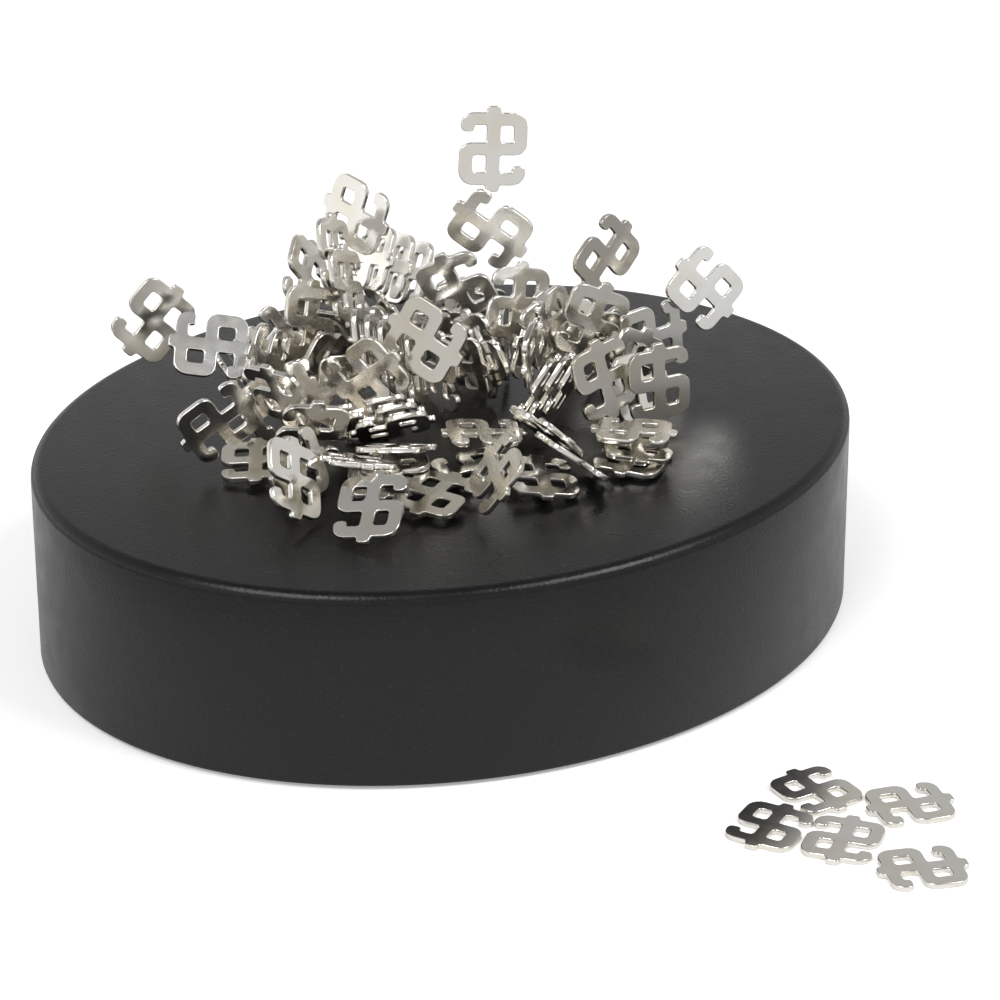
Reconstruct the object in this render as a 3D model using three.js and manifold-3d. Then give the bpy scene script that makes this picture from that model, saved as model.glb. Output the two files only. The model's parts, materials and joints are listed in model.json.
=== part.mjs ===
// A magnetic desk sculpture: a lacquered oval base with a disc magnet inside it,
// a crown of loose stamped dollar signs that the magnet holds on top, and a few
// more of them lying on the desk in front. Millimetres, +Z up, the origin under
// the middle of the base, +X along the oval.

import * as THREE from 'three';
import { mergeVertices } from 'three/addons/utils/BufferGeometryUtils.js';
import Module from 'manifold-3d';

const wasm = await Module();
wasm.setup();

// ---- driving dimensions ----

const BASE_LENGTH = 108;
const BASE_WIDTH = 90;
const BASE_HEIGHT = 26;
const BASE_LIFT = 0.4; // the lip of the base stands this far above the desk
const RIM_RADIUS = 1.4; // rounding of the top edge
const FOOT_CHAMFER = 0.6;
const OVAL_SIDES = 72;

const PAD_INSET = 3.5; // from the side of the base to the recess of the foot pad
const PAD_THICKNESS = 1;
const SIDE_GAP = 0.3; // round the pad, the cover and the magnet in their recesses
const GLUE_LINE = 0.1; // between pieces stacked on one another

const COVER_RADIUS = 28.5;
const COVER_THICKNESS = 2;
const MAGNET_RADIUS = 25;
const MAGNET_THICKNESS = 12;
const YOKE_THICKNESS = 2; // the steel disc behind the magnet
const TOP_SKIN = 3; // what is left of the base above the magnet
const ROUND_SIDES = 48;

const SIGN_THICKNESS = 0.7;

// ---- materials ----

const LACQUER = new THREE.MeshStandardMaterial({ color: 0x2b2b2c, roughness: 0.42, metalness: 0 });
const NICKEL = new THREE.MeshStandardMaterial({ color: 0xc9c5ba, roughness: 0.22, metalness: 1 });
const FERRITE = new THREE.MeshStandardMaterial({ color: 0x38383a, roughness: 0.7, metalness: 0.3 });
const ZINC = new THREE.MeshStandardMaterial({ color: 0x9a9ea2, roughness: 0.4, metalness: 1 });
const FIBRE = new THREE.MeshStandardMaterial({ color: 0x1c1c1d, roughness: 0.85, metalness: 0 });
const FELT = new THREE.MeshStandardMaterial({ color: 0x161616, roughness: 0.95, metalness: 0 });

// ---- solids ----

function toManifold(geometry) {
  const bare = geometry.clone();
  bare.deleteAttribute('normal');
  bare.deleteAttribute('uv');
  const merged = mergeVertices(bare, 1e-4);
  return new wasm.Manifold(new wasm.Mesh({
    numProp: 3,
    vertProperties: new Float32Array(merged.attributes.position.array),
    triVerts: new Uint32Array(merged.index.array),
  }));
}

function toGeometry(solid) {
  const mesh = solid.getMesh();
  const geometry = new THREE.BufferGeometry();
  geometry.setAttribute('position', new THREE.BufferAttribute(mesh.vertProperties, 3));
  geometry.setIndex(new THREE.BufferAttribute(mesh.triVerts, 1));
  geometry.computeVertexNormals();
  return geometry;
}

// A solid turned about Z from [radius, height] points that start and end on the axis.
function turned(profile, sides) {
  const points = profile.map(([radius, height]) => new THREE.Vector2(radius, height));
  return new THREE.LatheGeometry(points, sides).rotateX(Math.PI / 2);
}

function disc(radius, bottom, thickness, sides = ROUND_SIDES) {
  return turned([[0, bottom], [radius, bottom], [radius, bottom + thickness], [0, bottom + thickness]], sides);
}

// The same disc drawn out into the oval of the base, its edge `inset` inside the base's side.
function ovalDisc(inset, bottom, thickness) {
  const halfLength = BASE_LENGTH / 2 - inset;
  const halfWidth = BASE_WIDTH / 2 - inset;
  return disc(halfLength, bottom, thickness, OVAL_SIDES).scale(1, halfWidth / halfLength, 1);
}

function namedMesh(name, geometry, material) {
  const mesh = new THREE.Mesh(geometry, material);
  mesh.name = name;
  return mesh;
}

// ---- the base ----

function baseBody() {
  const half = BASE_LENGTH / 2;
  const rim = [];
  const rimSteps = 4;
  for (let step = 0; step <= rimSteps; step += 1) {
    const angle = (step / rimSteps) * (Math.PI / 2);
    rim.push([
      half - RIM_RADIUS * (1 - Math.cos(angle)),
      BASE_HEIGHT - RIM_RADIUS * (1 - Math.sin(angle)),
    ]);
  }
  const profile = [
    [0, BASE_LIFT],
    [half - FOOT_CHAMFER, BASE_LIFT],
    [half, BASE_LIFT + FOOT_CHAMFER],
    ...rim,
    [0, BASE_HEIGHT],
  ];
  const block = turned(profile, OVAL_SIDES).scale(1, BASE_WIDTH / BASE_LENGTH, 1);
  const padRecess = ovalDisc(PAD_INSET, -1, 1 + PAD_THICKNESS);
  const coverRecess = disc(COVER_RADIUS + SIDE_GAP, 0, COVER_TOP + GLUE_LINE);
  const magnetBore = disc(MAGNET_RADIUS + SIDE_GAP, 0, BASE_HEIGHT - TOP_SKIN);
  let body = toManifold(block);
  for (const cut of [padRecess, coverRecess, magnetBore]) {
    body = body.subtract(toManifold(cut));
  }
  return toGeometry(body);
}

const COVER_BOTTOM = PAD_THICKNESS + GLUE_LINE;
const COVER_TOP = COVER_BOTTOM + COVER_THICKNESS;
const MAGNET_BOTTOM = BASE_HEIGHT - TOP_SKIN - GLUE_LINE - MAGNET_THICKNESS;
const YOKE_BOTTOM = MAGNET_BOTTOM - GLUE_LINE - YOKE_THICKNESS;
const SPACER_BOTTOM = COVER_TOP + GLUE_LINE;
const SPACER_THICKNESS = YOKE_BOTTOM - GLUE_LINE - SPACER_BOTTOM;

function makeBase() {
  const base = new THREE.Group();
  base.add(
    namedMesh('base_body', baseBody(), LACQUER),
    namedMesh('disc_magnet', disc(MAGNET_RADIUS, MAGNET_BOTTOM, MAGNET_THICKNESS), FERRITE),
    namedMesh('steel_yoke', disc(MAGNET_RADIUS, YOKE_BOTTOM, YOKE_THICKNESS), ZINC),
    namedMesh('foam_spacer', disc(MAGNET_RADIUS, SPACER_BOTTOM, SPACER_THICKNESS), FELT),
    namedMesh('pocket_cover', disc(COVER_RADIUS, COVER_BOTTOM, COVER_THICKNESS), FIBRE),
    namedMesh('foot_pad', ovalDisc(PAD_INSET + SIDE_GAP, 0, PAD_THICKNESS), FELT),
  );
  return base;
}

// ---- the stamped dollar sign ----

// One half of the outline, from the nub on top down the right-hand side to the nub
// below. Each corner is [x, y, rounding radius, steps of the rounding]. The sign looks
// the same after half a turn, so the other half is this one turned round.
const NUB_TOP = 5.4;
const BODY_TOP = 4.56;
const HOOK_UNDERSIDE = 2.98;
const HOOK_END = 2.15;
const BAR_TOP = 0.78;
const STEM_SIDE = 0.83;
const HOOK_INNER = 2.5;
const HOOK_OUTER = 4.15;
const BODY_SIDE = 4.3;

const HALF_OUTLINE = [
  [0.75, NUB_TOP, 0.35, 1],
  [0.9, BODY_TOP, 0, 0],
  [HOOK_OUTER, BODY_TOP, 1.6, 2],
  [HOOK_OUTER, HOOK_END, 0.78, 2],
  [HOOK_INNER, HOOK_END, 0.7, 2],
  [HOOK_INNER, HOOK_UNDERSIDE, 0, 0],
  [STEM_SIDE, HOOK_UNDERSIDE, 0, 0],
  [STEM_SIDE, BAR_TOP, 0, 0],
  [BODY_SIDE, BAR_TOP, 1.5, 2],
  [BODY_SIDE, -BODY_TOP, 1.7, 2],
  [0.9, -BODY_TOP, 0, 0],
  [0.75, -NUB_TOP, 0.35, 1],
];
// The upper one of the two holes, between the bar, the stem and the side.
const HOLE = [
  [-2.65, 0.8],
  [-0.85, 0.8],
  [-0.85, 2.95],
  [-2.65, 2.95],
];

function halfTurned(points) {
  return points.map(([x, y, ...rest]) => [-x, -y, ...rest]);
}

// The points of a closed outline with each corner rounded by an arc.
function rounded(corners) {
  const points = [];
  corners.forEach(([x, y, radius, steps], index) => {
    const corner = new THREE.Vector2(x, y);
    if (radius === 0) {
      points.push(corner);
      return;
    }
    const before = corners[(index + corners.length - 1) % corners.length];
    const after = corners[(index + 1) % corners.length];
    const toBefore = new THREE.Vector2(before[0] - x, before[1] - y).normalize();
    const toAfter = new THREE.Vector2(after[0] - x, after[1] - y).normalize();
    const halfAngle = Math.acos(toBefore.dot(toAfter)) / 2;
    const towardsCentre = toBefore.clone().add(toAfter).normalize();
    const centre = corner.clone().addScaledVector(towardsCentre, radius / Math.sin(halfAngle));
    const firstPoint = corner.clone().addScaledVector(toBefore, radius / Math.tan(halfAngle));
    const sweep = Math.PI - 2 * halfAngle;
    const direction = -Math.sign(toBefore.cross(toAfter));
    for (let step = 0; step <= steps; step += 1) {
      const angle = direction * sweep * (step / steps);
      points.push(firstPoint.clone().rotateAround(centre, angle));
    }
  });
  return points;
}

function signGeometry() {
  const outline = rounded([...HALF_OUTLINE, ...halfTurned(HALF_OUTLINE)]);
  const shape = new THREE.Shape(outline);
  for (const hole of [HOLE, halfTurned(HOLE)]) {
    shape.holes.push(new THREE.Path(hole.map(([x, y]) => new THREE.Vector2(x, y))));
  }
  const geometry = new THREE.ExtrudeGeometry(shape, { depth: SIGN_THICKNESS, bevelEnabled: false });
  return geometry.translate(0, 0, -SIGN_THICKNESS / 2);
}

const SIGN = signGeometry();

// A sign whose middle is at [x, y, z]: spun in its own plane, leaned over the X axis
// (0 lies flat face up, 90 stands on edge, 180 lies face down), then turned about Z.
function placedSign(name, [x, y, z, turn, lean, spin]) {
  const turning = new THREE.Group();
  const leaning = new THREE.Group();
  const sign = namedMesh(name, SIGN, NICKEL);
  turning.position.set(x, y, z);
  turning.rotation.z = THREE.MathUtils.degToRad(turn);
  leaning.rotation.x = THREE.MathUtils.degToRad(lean);
  sign.rotation.z = THREE.MathUtils.degToRad(spin);
  leaning.add(sign);
  turning.add(leaning);
  return turning;
}

// ---- the signs in the pile ----

// Millimetres and degrees: x, y, z of the sign's middle, then its turn, lean and spin.
const SINGLE_SIGNS = {
  // the tall spire at the back
  spire_top: [10.5, 5.5, 59.5, 160, 105, 5],
  spire_middle: [8.5, 3, 50, -45, 95, 55],
  spire_foot: [12.5, 3, 39, 180, 100, 15],
  spire_lean: [7.5, 9.5, 40, -35, 100, 25],
  // the right-hand side, tallest first
  right_tall: [24, 0, 44, -170, 95, 50],
  right_far: [35.5, -5.5, 39, -5, 80, 40],
  right_high: [28, -4.5, 33.5, 180, 95, 85],
  right_inner: [19, -4.5, 37.5, -10, 85, -25],
  right_pair_inner: [15, -13.5, 34, 5, 80, 10],
  right_pair_outer: [22, -15.5, 32.5, -5, 85, 0],
  right_low: [14.5, -21.5, 28.5, -135, 170, 70],
  // the front edge, lying nearly flat
  flat_far: [-1, -11, 29.5, 120, 185, 55],
  flat_middle: [-4.5, -14.5, 27, 5, 0, 85],
  flat_near: [-13, -19.5, 27.5, -35, 5, -25],
  front_lean: [-8, -25.5, 31.5, -105, 55, 80],
  front_edge: [-23.5, -22, 29.5, -65, 30, 20],
  front_spear: [4, -23.5, 30, 90, 40, 160],
  // the left-hand side
  left_far: [-29.5, 22.5, 39, -10, 85, -45],
  left_wing: [-26, 13.5, 38, -15, 45, 75],
  left_back: [-17.5, 15, 35, -170, 105, 60],
  left_fore: [-31, 2.5, 33, 175, 85, 60],
  left_low: [-27, 0.5, 27.5, -65, 5, 35],
  left_inner: [-26.5, -9.5, 30.5, -155, 110, 90],
  left_middle: [-20.5, 6, 32, 175, 90, 70],
  left_centre: [-22.5, -5.5, 32.5, 160, 70, 10],
  // between the left-hand side and the spire
  back_tall: [-1.5, 19.5, 48.5, 110, 105, -80],
  middle_thick: [-4, -2, 39.5, 130, 110, -65],
  back_dome: [-12.5, 12.5, 38.5, 15, 80, -20],
};

// Signs that the field holds side by side, one step apart and all leaning alike.
const SIGN_STACKS = [
  { name: 'fan', count: 3, first: [9, -7.5, 31.5], step: [1.4, -1.1, 0.4], angles: [35, 115, -30] },
  { name: 'deck', count: 3, first: [-11.5, -1.5, 31.5], step: [0.5, -1.7, -0.6], angles: [-15, 140, -75] },
  { name: 'comb', count: 5, first: [-7.5, 7.5, 36], step: [1.1, -1.4, -0.5], angles: [50, 80, -25] },
  { name: 'crown', count: 3, first: [0, 18.5, 42.5], step: [3, 0.4, -1.8], angles: [-95, 65, -75] },
  { name: 'ridge', count: 2, first: [-7, 15.5, 45.5], step: [0.3, -2.4, -3.5], angles: [40, 75, -25] },
  { name: 'shell', count: 2, first: [13.5, -0.5, 33], step: [3, 0.3, 1.8], angles: [-160, 95, -55] },
];

// Signs lying flat on the desk in front of the base: x, y, which face is up and the spin.
const FACE_UP = 0;
const FACE_DOWN = 180;
const LOOSE_SIGNS = {
  loose_1: [12.5, -64.5, FACE_UP, 180],
  loose_2: [20, -73, FACE_DOWN, 105],
  loose_3: [3, -68.5, FACE_UP, -60],
  loose_4: [8.5, -75.5, FACE_DOWN, -130],
  loose_5: [12.5, -85.5, FACE_DOWN, 110],
};

function makeSigns() {
  const signs = new THREE.Group();
  for (const [name, placement] of Object.entries(SINGLE_SIGNS)) {
    signs.add(placedSign(name, placement));
  }
  for (const { name, count, first, step, angles } of SIGN_STACKS) {
    for (let index = 0; index < count; index += 1) {
      const middle = first.map((value, axis) => value + index * step[axis]);
      signs.add(placedSign(`${name}_${index + 1}`, [...middle, ...angles]));
    }
  }
  for (const [name, [x, y, face, spin]] of Object.entries(LOOSE_SIGNS)) {
    signs.add(placedSign(name, [x, y, SIGN_THICKNESS / 2, 0, face, spin]));
  }
  return signs;
}

// ---- the whole sculpture ----

const sculpture = new THREE.Group();
sculpture.add(makeBase(), makeSigns());

export default sculpture;
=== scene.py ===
"""Magnetic desk sculpture: the looks. Everything is in metres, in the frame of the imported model."""

import json
import math
import random

import bmesh
import bpy
import numpy as np
from mathutils import Matrix, Vector
from mathutils.bvhtree import BVHTree
from mathutils.geometry import tessellate_polygon

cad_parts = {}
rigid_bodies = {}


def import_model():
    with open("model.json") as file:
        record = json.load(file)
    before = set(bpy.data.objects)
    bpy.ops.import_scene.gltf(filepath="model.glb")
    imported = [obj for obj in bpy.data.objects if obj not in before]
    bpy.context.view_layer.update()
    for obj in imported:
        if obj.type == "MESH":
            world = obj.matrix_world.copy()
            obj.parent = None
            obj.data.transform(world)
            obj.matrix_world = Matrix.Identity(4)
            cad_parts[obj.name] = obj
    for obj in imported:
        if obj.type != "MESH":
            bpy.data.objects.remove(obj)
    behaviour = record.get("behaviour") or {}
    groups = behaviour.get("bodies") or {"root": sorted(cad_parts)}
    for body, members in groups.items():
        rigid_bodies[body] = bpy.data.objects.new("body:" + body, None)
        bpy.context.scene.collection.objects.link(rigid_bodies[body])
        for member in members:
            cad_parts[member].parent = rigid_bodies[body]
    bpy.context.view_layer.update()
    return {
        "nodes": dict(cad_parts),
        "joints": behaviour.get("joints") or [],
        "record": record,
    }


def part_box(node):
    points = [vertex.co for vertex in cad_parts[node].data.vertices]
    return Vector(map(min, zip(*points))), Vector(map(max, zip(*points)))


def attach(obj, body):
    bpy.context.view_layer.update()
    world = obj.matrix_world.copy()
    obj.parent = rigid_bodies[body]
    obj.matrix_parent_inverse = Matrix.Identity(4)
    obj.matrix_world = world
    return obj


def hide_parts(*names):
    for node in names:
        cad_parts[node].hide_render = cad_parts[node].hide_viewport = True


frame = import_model()

MM = 0.001

# ---- the camera, made first ----

CAMERA_AZIMUTH = math.radians(-31.35)
CAMERA_ELEVATION = math.radians(25.63)
CAMERA_ROLL = math.radians(-0.2)
CAMERA_DISTANCE = 525.1 * MM
CAMERA_TARGET = Vector((8.96, 1.59, 12.62)) * MM
CAMERA_LENS = 145.92  # on a 36 mm sensor


def make_camera():
    data = bpy.data.cameras.new("camera")
    data.lens = CAMERA_LENS
    data.sensor_width = 36.0
    data.clip_start = 0.02
    data.clip_end = 20.0
    camera = bpy.data.objects.new("camera", data)
    bpy.context.scene.collection.objects.link(camera)
    backwards = Vector((
        math.sin(CAMERA_AZIMUTH) * math.cos(CAMERA_ELEVATION),
        -math.cos(CAMERA_AZIMUTH) * math.cos(CAMERA_ELEVATION),
        math.sin(CAMERA_ELEVATION),
    ))
    camera.location = CAMERA_TARGET + backwards * CAMERA_DISTANCE
    facing = backwards.to_track_quat("Z", "Y").to_matrix()
    camera.rotation_euler = (facing @ Matrix.Rotation(CAMERA_ROLL, 3, "Z")).to_euler()
    bpy.context.scene.camera = camera


make_camera()

# ---- sizes ----

BASE_LOW, BASE_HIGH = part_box("base_body")
PAD_LOW, PAD_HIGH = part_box("foot_pad")
COVER_LOW, COVER_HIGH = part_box("pocket_cover")
MAGNET_LOW, MAGNET_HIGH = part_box("disc_magnet")
SIDE_GAP = 0.3 * MM
GLUE_LINE = 0.1 * MM
RIM_RADIUS = 1.4 * MM
RIM_STEPS = 8
FOOT_CHAMFER = 0.6 * MM
FOOT_SOFTENING = 0.3  # the chamfer bulges out to this share of itself from the side and the foot
PAD_SOFT_EDGE = 0.25 * MM
OVAL_SIDES = 256
SHARP_EDGE = math.radians(35.0)

# ---- node helpers ----


class Nodes:
    """A new node material with a Principled shader, and short calls to add to it."""

    def __init__(self, name):
        self.material = bpy.data.materials.new(name)
        self.material.use_nodes = True
        self.tree = self.material.node_tree
        self.shader = self.tree.nodes["Principled BSDF"]

    def add(self, kind, **settings):
        node = self.tree.nodes.new(kind)
        for key, value in settings.items():
            setattr(node, key, value)
        return node

    def link(self, source, target):
        self.tree.links.new(source, target)

    def set(self, **values):
        for key, value in values.items():
            self.shader.inputs[key.replace("_", " ")].default_value = value

    def place(self):
        """Coordinates in the object's own space, in metres."""
        return self.add("ShaderNodeTexCoord").outputs["Object"]

    def noise(self, place, scale, detail=3.0, roughness=0.5):
        node = self.add("ShaderNodeTexNoise")
        node.inputs["Scale"].default_value = scale
        node.inputs["Detail"].default_value = detail
        node.inputs["Roughness"].default_value = roughness
        self.link(place, node.inputs["Vector"])
        return node.outputs["Fac"]

    def ramp(self, value, *stops):
        node = self.add("ShaderNodeValToRGB")
        elements = node.color_ramp.elements
        while len(elements) < len(stops):
            elements.new(1.0)
        for element, (position, colour) in zip(elements, stops):
            element.position = position
            element.color = (*colour, 1.0) if len(colour) == 3 else colour
        self.link(value, node.inputs["Fac"])
        return node.outputs["Color"]

    def spread(self, value, low, high, to_low, to_high):
        node = self.add("ShaderNodeMapRange")
        for socket, number in zip(("From Min", "From Max", "To Min", "To Max"), (low, high, to_low, to_high)):
            node.inputs[socket].default_value = number
        self.link(value, node.inputs["Value"])
        return node.outputs["Result"]

    def bump(self, height, distance, strength=1.0, below=None):
        node = self.add("ShaderNodeBump")
        node.inputs["Strength"].default_value = strength
        node.inputs["Distance"].default_value = distance
        self.link(height, node.inputs["Height"])
        if below is not None:
            self.link(below, node.inputs["Normal"])
        return node.outputs["Normal"]


def grey(level):
    return (level, level, level)


# ---- materials ----

HANDLED_TINT = (0.97, 0.94, 0.88)
WOOD_GRAIN_STRETCH = (0.06, 1.0, 1.0)


def nickel(name, colour, roughness):
    """Tumbled nickel plate: faint ripples and haze, a little warmer where it has been handled."""
    nodes = Nodes(name)
    nodes.set(Metallic=1.0)
    place = nodes.place()
    warmer = tuple(level * warmth for level, warmth in zip(colour, HANDLED_TINT))
    handled = nodes.noise(place, scale=150.0, detail=2.0)
    nodes.link(nodes.ramp(handled, (0.45, colour), (0.7, warmer)), nodes.shader.inputs["Base Color"])
    haze = nodes.noise(place, scale=700.0, detail=4.0)
    nodes.link(
        nodes.spread(haze, low=0.3, high=0.7, to_low=roughness * 0.85, to_high=roughness * 1.2),
        nodes.shader.inputs["Roughness"],
    )
    ripples = nodes.noise(place, scale=120.0, detail=0.0)
    grains = nodes.noise(place, scale=6000.0, detail=3.0)
    rippled = nodes.bump(ripples, distance=0.2 * MM, strength=0.12)
    grainy = nodes.bump(grains, distance=0.004 * MM, strength=0.25, below=rippled)
    nodes.link(grainy, nodes.shader.inputs["Normal"])
    return nodes.material


def lacquer():
    """Black satin lacquer over wood: faint grain lines, a fine orange peel and small pale flecks."""
    nodes = Nodes("lacquer")
    place = nodes.place()
    flecks = nodes.noise(place, scale=2600.0, detail=2.0)
    nodes.link(
        nodes.ramp(flecks, (0.6, grey(0.004)), (0.76, grey(0.014))),
        nodes.shader.inputs["Base Color"],
    )
    haze = nodes.noise(place, scale=300.0, detail=4.0)
    nodes.link(
        nodes.spread(haze, low=0.3, high=0.7, to_low=0.26, to_high=0.34),
        nodes.shader.inputs["Roughness"],
    )
    stretch = nodes.add("ShaderNodeMapping")
    stretch.inputs["Scale"].default_value = WOOD_GRAIN_STRETCH
    nodes.link(place, stretch.inputs["Vector"])
    wood = nodes.noise(stretch.outputs["Vector"], scale=2200.0, detail=3.0)
    peel = nodes.noise(place, scale=2300.0, detail=2.0)
    grained = nodes.bump(wood, distance=0.03 * MM, strength=0.3)
    peeled = nodes.bump(peel, distance=0.05 * MM, strength=0.7, below=grained)
    nodes.link(peeled, nodes.shader.inputs["Normal"])
    nodes.set(IOR=1.39)
    return nodes.material


def felt():
    """Black felt: matted fibres with a faint sheen."""
    nodes = Nodes("felt")
    place = nodes.place()
    fibres = nodes.noise(place, scale=2400.0, detail=6.0, roughness=0.7)
    nodes.link(
        nodes.ramp(fibres, (0.35, grey(0.008)), (0.7, grey(0.03))),
        nodes.shader.inputs["Base Color"],
    )
    nodes.link(nodes.bump(fibres, distance=0.15 * MM, strength=0.9), nodes.shader.inputs["Normal"])
    nodes.set(Roughness=0.95)
    nodes.shader.inputs["Sheen Weight"].default_value = 0.3
    return nodes.material


def speckled(name, low, high, scale, metallic, roughness, depth):
    """A plain material with a mottled colour and a rough skin, for the pieces inside."""
    nodes = Nodes(name)
    place = nodes.place()
    mottle = nodes.noise(place, scale, detail=5.0, roughness=0.6)
    nodes.link(nodes.ramp(mottle, (0.35, low), (0.68, high)), nodes.shader.inputs["Base Color"])
    nodes.link(nodes.bump(mottle, distance=depth, strength=0.7), nodes.shader.inputs["Normal"])
    nodes.set(Metallic=metallic, Roughness=roughness)
    return nodes.material


LACQUER = lacquer()
FELT = felt()
FERRITE = speckled("ferrite", grey(0.035), grey(0.07), 900.0, 0.3, 0.6, 0.05 * MM)
ZINC = speckled("zinc", (0.42, 0.44, 0.46), (0.6, 0.62, 0.64), 380.0, 1.0, 0.35, 0.01 * MM)
FOAM = speckled("foam", grey(0.018), grey(0.05), 1600.0, 0.0, 0.9, 0.2 * MM)
FIBRE = speckled("fibre", grey(0.012), grey(0.03), 2200.0, 0.0, 0.8, 0.04 * MM)
# The three nickels are lit and shaded copies of one metal: the lighter and darker base colours are painted
# highlight and painted shade.
NICKELS = {
    "bright": nickel("nickel_painted_lit", (0.94, 0.93, 0.905), 0.16),
    "plain": nickel("nickel_plain", (0.82, 0.80, 0.755), 0.17),
    "painted_shade": nickel("nickel_painted_shade", (0.62, 0.595, 0.54), 0.2),
}

# ---- the base ----


def new_object(name, mesh, material):
    mesh.materials.append(material)
    piece = bpy.data.objects.new(name, mesh)
    bpy.context.scene.collection.objects.link(piece)
    return piece


def turned_rings(name, rings, material):
    """A closed mesh from stacked rings, each (half length, half width, height); the ends close to a point."""
    shape = bmesh.new()
    loops = []
    for half_x, half_y, height in rings:
        loop = []
        for side in range(OVAL_SIDES):
            angle = 2.0 * math.pi * side / OVAL_SIDES
            loop.append(shape.verts.new((half_x * math.cos(angle), half_y * math.sin(angle), height)))
        loops.append(loop)
    for lower, upper in zip(loops, loops[1:]):
        for side in range(OVAL_SIDES):
            after = (side + 1) % OVAL_SIDES
            shape.faces.new((lower[side], lower[after], upper[after], upper[side]))
    for loop, flip in ((loops[0], True), (loops[-1], False)):
        centre = shape.verts.new((0.0, 0.0, loop[0].co.z))
        for side in range(OVAL_SIDES):
            after = (side + 1) % OVAL_SIDES
            corners = (loop[side], loop[after], centre)
            shape.faces.new(corners[::-1] if flip else corners)
    mesh = bpy.data.meshes.new(name)
    shape.to_mesh(mesh)
    shape.free()
    mesh.shade_smooth()
    mesh.set_sharp_from_angle(angle=SHARP_EDGE)
    return new_object(name, mesh, material)


def make_base_body():
    half_x = BASE_HIGH.x
    half_y = BASE_HIGH.y
    pad_x = PAD_HIGH.x + SIDE_GAP
    pad_y = PAD_HIGH.y + SIDE_GAP
    bore = MAGNET_HIGH.x + SIDE_GAP
    recess = COVER_HIGH.x + SIDE_GAP
    cover_top = COVER_HIGH.z + GLUE_LINE
    softened = FOOT_CHAMFER * FOOT_SOFTENING
    rings = [
        (bore, bore, MAGNET_HIGH.z + GLUE_LINE),
        (bore, bore, cover_top),
        (recess, recess, cover_top),
        (recess, recess, PAD_HIGH.z),
        (pad_x, pad_y, PAD_HIGH.z),
        (pad_x, pad_y, BASE_LOW.z),
        (half_x - FOOT_CHAMFER, half_y - FOOT_CHAMFER, BASE_LOW.z),
        (half_x - softened, half_y - softened, BASE_LOW.z + softened),
        (half_x, half_y, BASE_LOW.z + FOOT_CHAMFER),
    ]
    for step in range(RIM_STEPS + 1):
        angle = math.pi / 2.0 * step / RIM_STEPS
        inset = RIM_RADIUS * (1.0 - math.cos(angle))
        drop = RIM_RADIUS * (1.0 - math.sin(angle))
        rings.append((half_x - inset, half_y - inset, BASE_HIGH.z - drop))
    body = turned_rings("base_body_look", rings, LACQUER)
    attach(body, "base")
    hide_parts("base_body")


def make_foot_pad():
    half_x = PAD_HIGH.x
    half_y = PAD_HIGH.y
    rings = [
        (half_x - PAD_SOFT_EDGE, half_y - PAD_SOFT_EDGE, PAD_LOW.z),
        (half_x, half_y, PAD_LOW.z + PAD_SOFT_EDGE),
        (half_x, half_y, PAD_HIGH.z - PAD_SOFT_EDGE),
        (half_x - PAD_SOFT_EDGE, half_y - PAD_SOFT_EDGE, PAD_HIGH.z),
    ]
    pad = turned_rings("foot_pad_look", rings, FELT)
    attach(pad, "base")
    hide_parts("foot_pad")


def dress_inner_pieces():
    for node, material in (
        ("disc_magnet", FERRITE),
        ("steel_yoke", ZINC),
        ("foam_spacer", FOAM),
        ("pocket_cover", FIBRE),
    ):
        mesh = frame["nodes"][node].data
        mesh.materials.clear()
        mesh.materials.append(material)


# ---- the stamped dollar sign ----

# One half of the outline in millimetres: x, y, the model's rounding radius and its steps, and
# the rounding of the finished look. The other half is this one turned by half a turn.
HALF_OUTLINE = [
    (0.75, 5.4, 0.35, 1, 0.42),
    (0.9, 4.56, 0.0, 0, 0.4),
    (4.15, 4.56, 1.6, 2, 1.6),
    (4.15, 2.15, 0.78, 2, 0.65),
    (2.5, 2.15, 0.7, 2, 0.48),
    (2.5, 2.98, 0.0, 0, 0.3),
    (0.83, 2.98, 0.0, 0, 0.4),
    (0.83, 0.78, 0.0, 0, 0.4),
    (4.3, 0.78, 1.5, 2, 1.5),
    (4.3, -4.56, 1.7, 2, 1.7),
    (0.9, -4.56, 0.0, 0, 0.4),
    (0.75, -5.4, 0.35, 1, 0.42),
]
HOLE = [
    (-2.65, 0.8, 0.0, 0, 0.45),
    (-0.85, 0.8, 0.0, 0, 0.45),
    (-0.85, 2.95, 0.0, 0, 0.45),
    (-2.65, 2.95, 0.0, 0, 0.45),
]
THICKNESS = 0.7 * MM
EDGE_RADIUS = 0.1 * MM
LOOK_STEPS = 5


def half_turned(corners):
    return [(-x, -y, *rest) for x, y, *rest in corners]


LOOPS = [HALF_OUTLINE + half_turned(HALF_OUTLINE), HOLE, half_turned(HOLE)]


def rounded(corners, finished, inset=0.0):
    """A closed loop in metres with an arc at each corner, moved into the metal by the inset."""
    points = []
    for index, (x, y, model_radius, model_steps, look_radius) in enumerate(corners):
        radius, steps = (look_radius * MM, LOOK_STEPS) if finished else (model_radius * MM, model_steps)
        corner = Vector((x, y)) * MM
        if radius == 0.0:
            points.append(corner)
            continue
        before = (Vector(corners[index - 1][:2]) * MM - corner).normalized()
        after = (Vector(corners[(index + 1) % len(corners)][:2]) * MM - corner).normalized()
        half_angle = math.acos(before.dot(after)) / 2.0
        centre = corner + (before + after).normalized() * radius / math.sin(half_angle)
        spoke = corner + before * radius / math.tan(half_angle) - centre
        outward = math.copysign(1.0, before.cross(after))
        spoke *= (radius - outward * inset) / radius
        sweep = -outward * (math.pi - 2.0 * half_angle)
        for step in range(steps + 1):
            points.append(centre + Matrix.Rotation(sweep * step / steps, 2) @ spoke)
    return points


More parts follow.
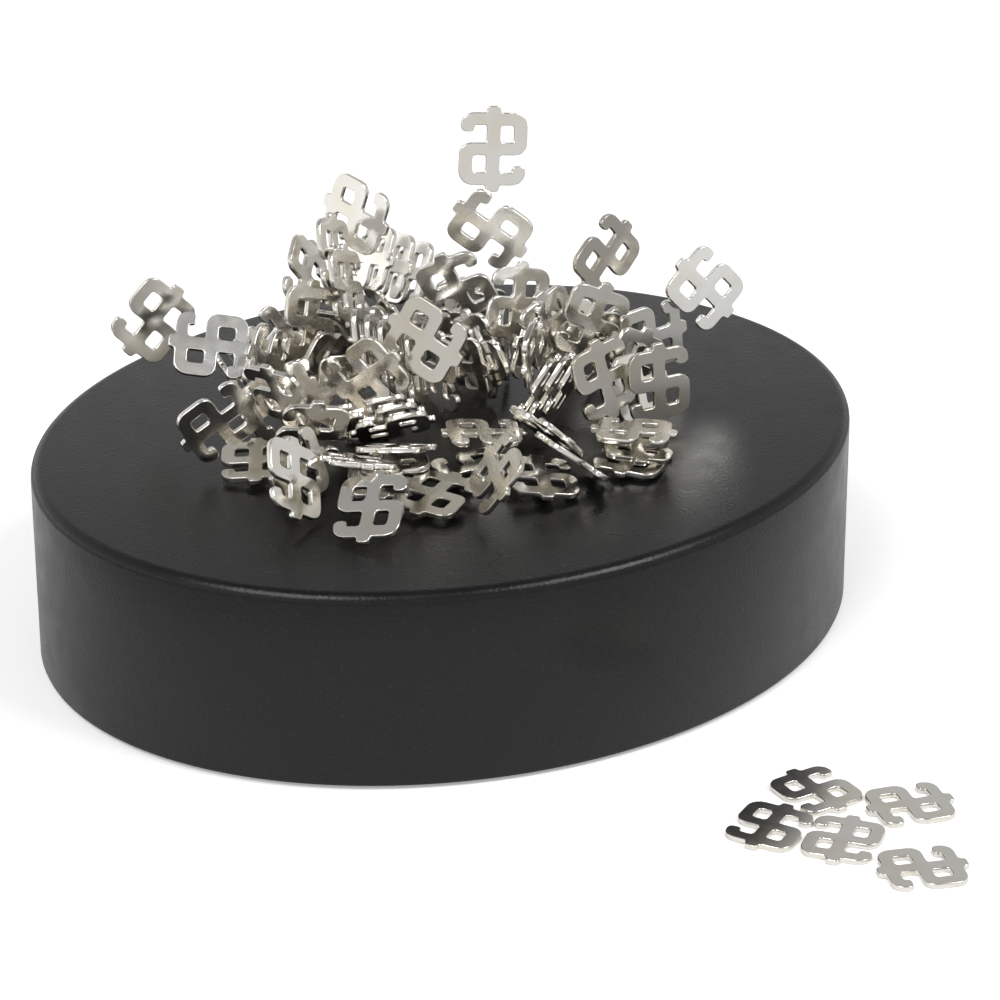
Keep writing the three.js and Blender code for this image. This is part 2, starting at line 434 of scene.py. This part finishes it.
def sign_mesh():
    """The plate: flat faces, and edges rolled over all round as tumbling leaves them."""
    levels = []
    for side, angles in ((-1.0, (90.0, 45.0, 0.0)), (1.0, (0.0, 45.0, 90.0))):
        for angle in angles:
            inset = EDGE_RADIUS * (1.0 - math.cos(math.radians(angle)))
            drop = EDGE_RADIUS * (1.0 - math.sin(math.radians(angle)))
            levels.append((inset, side * (THICKNESS / 2.0 - drop)))
    shape = bmesh.new()
    caps = {levels[0]: [], levels[-1]: []}
    for corners in LOOPS:
        rings = []
        for inset, height in levels:
            points = [(*point, height) for point in rounded(corners, True, inset)]
            rings.append([shape.verts.new(point) for point in points])
            if (inset, height) in caps:
                caps[inset, height].append(rings[-1])
        for lower, upper in zip(rings, rings[1:]):
            for step in range(len(lower)):
                after = (step + 1) % len(lower)
                face = shape.faces.new((lower[step], lower[after], upper[after], upper[step]))
                face.smooth = True
    for rings in caps.values():
        flat = [vertex for ring in rings for vertex in ring]
        for triangle in tessellate_polygon([[vertex.co for vertex in ring] for ring in rings]):
            shape.faces.new([flat[corner] for corner in triangle])
    bmesh.ops.recalc_face_normals(shape, faces=shape.faces)
    mesh = bpy.data.meshes.new("sign")
    shape.to_mesh(mesh)
    shape.free()
    return mesh


def plane_axes(points):
    """The principal axes of the points of a plate, longest first, as the columns of a rotation."""
    _, _, rows = np.linalg.svd(points, full_matrices=False)
    rows[2] = np.cross(rows[0], rows[1])
    return rows.T


def model_sign_points():
    """The corners of the model's plate in its own plane."""
    flat = [point for corners in LOOPS for point in rounded(corners, False)]
    return np.array([(*point, side * THICKNESS / 2.0) for point in flat for side in (-1.0, 1.0)])


MODEL_POINTS = model_sign_points()
MODEL_AXES = plane_axes(MODEL_POINTS)


def sign_place(node):
    """The matrix that puts a sign drawn in its own plane where the model has this node."""
    corners = {tuple(round(value, 6) for value in vertex.co) for vertex in frame["nodes"][node].data.vertices}
    corners = np.array(sorted(corners))
    middle = corners.mean(axis=0)
    axes = plane_axes(corners - middle)
    best = None
    for flip in (np.diag((1.0, 1.0, 1.0)), np.diag((1.0, -1.0, -1.0))):
        rotation = axes @ flip @ MODEL_AXES.T
        drawn = MODEL_POINTS @ rotation.T + middle
        misfit = np.linalg.norm(drawn[:, None, :] - corners[None, :, :], axis=2).min(axis=1).mean()
        if best is None or misfit < best[0]:
            best = (misfit, rotation)
    place = Matrix(best[1].tolist()).to_4x4()
    place.translation = Vector(middle.tolist())
    return place


# More signs that only the looks hold fill the pile between the model's own. Each cluster has a
# middle and a reach each way in millimetres, the most signs it takes and the range of their lean.
PILE_CLUSTERS = {
    "left_pocket": ((-16, 9, 33), (8, 8, 5), 11, (50, 110)),
    "left_floor": ((-19, -4, 29), (11, 10, 3), 10, (0, 60)),
    "ring_hollow": ((7, 8, 32), (8, 8, 3.5), 10, (60, 110)),
    "right_wall": ((16, -3, 34), (8, 8, 4.5), 9, (70, 110)),
    "front": ((7, -19, 28.5), (8, 5, 2.5), 4, (0, 50)),
    "rear": ((-4, 15, 38), (7, 5, 4), 6, (60, 90)),
}
SCATTER_SEED = 5
SCATTER_TRIES = 15000
TESTED_LIFTS = (0.0, 6.0 * MM, 12.0 * MM)  # at rest, half lifted and lifted
SIGN_SPAN = 11.6 * MM  # signs whose middles are further apart never touch
BASE_CLEARANCE = 0.1 * MM
SIGN_CLEARANCE = 0.03 * MM  # added to each face of the tested plate

# Signs drawn in a lighter nickel colour, a painted highlight where they reflect bright surroundings, and
# signs drawn in a darker one, painted shade where they reflect dark surroundings.
PAINTED_LIT_SIGNS = (
    "left_wing",
    "spire_foot",
    "spire_middle",
    "spire_lean",
    "right_far",
    "left_back",
    "left_fore",
    "shell_1",
    "crown_1",
    "crown_2",
    "crown_3",
)
PAINTED_SHADE_SIGNS = (
    "middle_thick",
    "left_inner",
    "left_low",
    "flat_near",
    "front_lean",
    "right_low",
    "right_tall",
    "right_pair_inner",
    "right_pair_outer",
)


# Picks the painted highlight copy, the painted shade copy or the plain nickel for a sign.
def tone_of(node):
    if node in PAINTED_LIT_SIGNS:
        return "bright"
    return "painted_shade" if node in PAINTED_SHADE_SIGNS else "plain"


def make_signs():
    base_nodes = frame["record"]["behaviour"]["bodies"]["base"]
    plate = sign_mesh()
    for node in sorted(frame["nodes"]):
        if node in base_nodes:
            continue
        sign = new_object(node + "_look", plate.copy(), NICKELS[tone_of(node)])
        sign.matrix_world = sign_place(node)
        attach(sign, node)
        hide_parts(node)


class PlateTest:
    """Finds out whether a plain plate at some place would cut the base or another sign."""

    def __init__(self):
        loops = [[Vector((*point, 0.0)) for point in rounded(corners, False)] for corners in LOOPS]
        flat = [point for loop in loops for point in loop]
        half = Vector((0.0, 0.0, THICKNESS / 2.0 + SIGN_CLEARANCE))
        self.points = [point - half for point in flat] + [point + half for point in flat]
        self.faces = []
        for triangle in tessellate_polygon(loops):
            self.faces.append(tuple(triangle))
            self.faces.append(tuple(corner + len(flat) for corner in triangle))
        start = 0
        for loop in loops:
            for step in range(len(loop)):
                here = start + step
                after = start + (step + 1) % len(loop)
                self.faces.append((here, after, after + len(flat), here + len(flat)))
            start += len(loop)
        self.taken = []

    def tree(self, place):
        return BVHTree.FromPolygons([place @ point for point in self.points], self.faces)

    def take(self, place):
        self.taken.append((place.translation, self.tree(place)))

    def fits(self, place):
        lowest = min((place @ point).z for point in self.points)
        if lowest < BASE_HIGH.z + BASE_CLEARANCE:
            return False
        tree = self.tree(place)
        near = [other for middle, other in self.taken if (middle - place.translation).length < SIGN_SPAN]
        return not any(tree.overlap(other) for other in near)


def lifted_places():
    """Where each of the model's signs is at each tested lift, moved along with the signs that carry it."""
    joints = {joint["child"]: joint for joint in frame["joints"]}
    for node in joints:
        for lift in TESTED_LIFTS:
            move = Vector()
            body = node
            while body in joints:
                move += Vector(joints[body]["axis"]) * lift
                body = joints[body]["parent"]
            yield Matrix.Translation(move) @ sign_place(node)


def random_place(draw, middle, reach, leans):
    """A sign drawn flat, spun about its own axis, leaned over about X, turned about Z and moved out."""
    spot = Vector(centre + draw.uniform(-1.0, 1.0) * span for centre, span in zip(middle, reach)) * MM
    turn = draw.uniform(-180.0, 180.0)
    lean = draw.uniform(*leans)
    spin = draw.uniform(-90.0, 90.0)
    place = Matrix.Translation(spot)
    for angle, axis in ((turn, "Z"), (lean, "X"), (spin, "Z")):
        place = place @ Matrix.Rotation(math.radians(angle), 4, axis)
    return place


def make_fillers():
    """Scatters each cluster's signs, always in the same way, where they touch no other sign."""
    plate = sign_mesh()
    test = PlateTest()
    for place in lifted_places():
        test.take(place)
    draw = random.Random(SCATTER_SEED)
    for zone, (middle, reach, count, leans) in PILE_CLUSTERS.items():
        made = 0
        for _ in range(SCATTER_TRIES):
            if made == count:
                break
            place = random_place(draw, middle, reach, leans)
            if not test.fits(place):
                continue
            test.take(place)
            made += 1
            sign = new_object(f"{zone}_{made}", plate.copy(), NICKELS["plain"])
            sign.matrix_world = place
            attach(sign, "base")


make_base_body()
make_foot_pad()
dress_inner_pieces()
make_signs()
make_fillers()

# ---- floor, world and lights ----

SHEET_RADIUS = 0.38
SHEET_DROP = 0.02 * MM
SHEET_WHITE = 0.95
SHEET_FAR = 0.36  # how white the sheet is to the metal beyond the fade
SHEET_FADE = (0.09, 0.14)  # from and to, as distances from the middle of the base
SHEET_GLOW = 0.3
ROOM_BRIGHTNESS = 1.12
# Each stop is the cosine of the angle from the direction, and the level there.
UPWARDS = (0.0, 0.0, 1.0)
LEVELS_UPWARDS = ((0.05, 1.0), (0.26, 0.8), (0.5, 0.6), (0.87, 0.35), (1.0, 0.2))
LEFTWARDS = (-0.77, 0.64, 0.0)
LEVELS_LEFTWARDS = ((-1.0, 0.7), (-0.5, 0.74), (0.0, 0.76), (0.5, 0.9), (0.9, 1.0))
SOFTBOX_SIDE = 0.6
LIGHT_TARGET = Vector((0.0, 0.0, 0.03))


def make_floor():
    """A white sheet on a table. To the metal it fades with distance, as it does outside the lamps' reach."""
    nodes = Nodes("floor")
    nodes.set(Roughness=0.9)
    nodes.shader.inputs["Specular IOR Level"].default_value = 0.1
    camera_sees = nodes.add("ShaderNodeLightPath").outputs["Is Camera Ray"]
    distance = nodes.add("ShaderNodeVectorMath", operation="LENGTH")
    nodes.link(nodes.place(), distance.inputs[0])
    fading = nodes.spread(distance.outputs["Value"], *SHEET_FADE, SHEET_WHITE, SHEET_FAR)
    either = nodes.add("ShaderNodeMix")
    either.inputs["B"].default_value = SHEET_WHITE
    nodes.link(camera_sees, either.inputs["Factor"])
    nodes.link(fading, either.inputs["A"])
    nodes.link(either.outputs["Result"], nodes.shader.inputs["Base Color"])
    nodes.shader.inputs["Emission Color"].default_value = (1.0, 1.0, 1.0, 1.0)
    nodes.link(nodes.spread(camera_sees, 0.0, 1.0, 0.0, SHEET_GLOW), nodes.shader.inputs["Emission Strength"])
    shape = bmesh.new()
    bmesh.ops.create_circle(shape, cap_ends=True, segments=96, radius=SHEET_RADIUS)
    mesh = bpy.data.meshes.new("floor")
    shape.to_mesh(mesh)
    shape.free()
    floor = new_object("floor", mesh, nodes.material)
    floor.location.z = -SHEET_DROP


def make_world():
    """A room that is bright round the horizon and to the left, and dark overhead."""
    world = bpy.data.worlds.new("studio")
    world.use_nodes = True
    bpy.context.scene.world = world
    tree = world.node_tree
    place = tree.nodes.new("ShaderNodeTexCoord").outputs["Generated"]

    def level_along(direction, stops):
        """A grey ramp over the cosine of the angle from a direction, from -1 to 1."""
        cosine = tree.nodes.new("ShaderNodeVectorMath")
        cosine.operation = "DOT_PRODUCT"
        cosine.inputs[1].default_value = direction
        tree.links.new(place, cosine.inputs[0])
        shift = tree.nodes.new("ShaderNodeMapRange")
        shift.inputs["From Min"].default_value = -1.0
        tree.links.new(cosine.outputs["Value"], shift.inputs["Value"])
        ramp = tree.nodes.new("ShaderNodeValToRGB")
        while len(ramp.color_ramp.elements) < len(stops):
            ramp.color_ramp.elements.new(1.0)
        for element, (cosine_value, level) in zip(ramp.color_ramp.elements, stops):
            element.position = (cosine_value + 1.0) / 2.0
            element.color = (*grey(level), 1.0)
        tree.links.new(shift.outputs["Result"], ramp.inputs["Fac"])
        return ramp.outputs["Color"]

    up = level_along(UPWARDS, LEVELS_UPWARDS)
    left = level_along(LEFTWARDS, LEVELS_LEFTWARDS)
    both = tree.nodes.new("ShaderNodeMix")
    both.data_type = "RGBA"
    both.blend_type = "MULTIPLY"
    both.inputs["Factor"].default_value = 1.0
    tree.links.new(up, both.inputs["A"])
    tree.links.new(left, both.inputs["B"])
    tree.links.new(both.outputs["Result"], tree.nodes["Background"].inputs["Color"])
    tree.nodes["Background"].inputs["Strength"].default_value = ROOM_BRIGHTNESS
    white = tree.nodes.new("ShaderNodeBackground")
    white.inputs["Color"].default_value = (1.0, 1.0, 1.0, 1.0)
    chosen = tree.nodes.new("ShaderNodeMixShader")
    tree.links.new(tree.nodes.new("ShaderNodeLightPath").outputs["Is Camera Ray"], chosen.inputs["Fac"])
    tree.links.new(tree.nodes["Background"].outputs["Background"], chosen.inputs[1])
    tree.links.new(white.outputs["Background"], chosen.inputs[2])
    tree.links.new(chosen.outputs["Shader"], tree.nodes["World Output"].inputs["Surface"])


def make_softbox(name, place, power):
    data = bpy.data.lights.new(name, "AREA")
    data.size = SOFTBOX_SIDE
    data.energy = power
    light = bpy.data.objects.new(name, data)
    bpy.context.scene.collection.objects.link(light)
    light.location = place
    light.rotation_euler = (Vector(place) - LIGHT_TARGET).to_track_quat("Z", "Y").to_euler()


make_floor()
make_world()
make_softbox("softbox_left", (-0.7, -0.35, 1.0), 6.5)
make_softbox("softbox_right", (0.5, -0.72, 1.0), 7.5)

bpy.context.scene.view_settings.view_transform = "Standard"
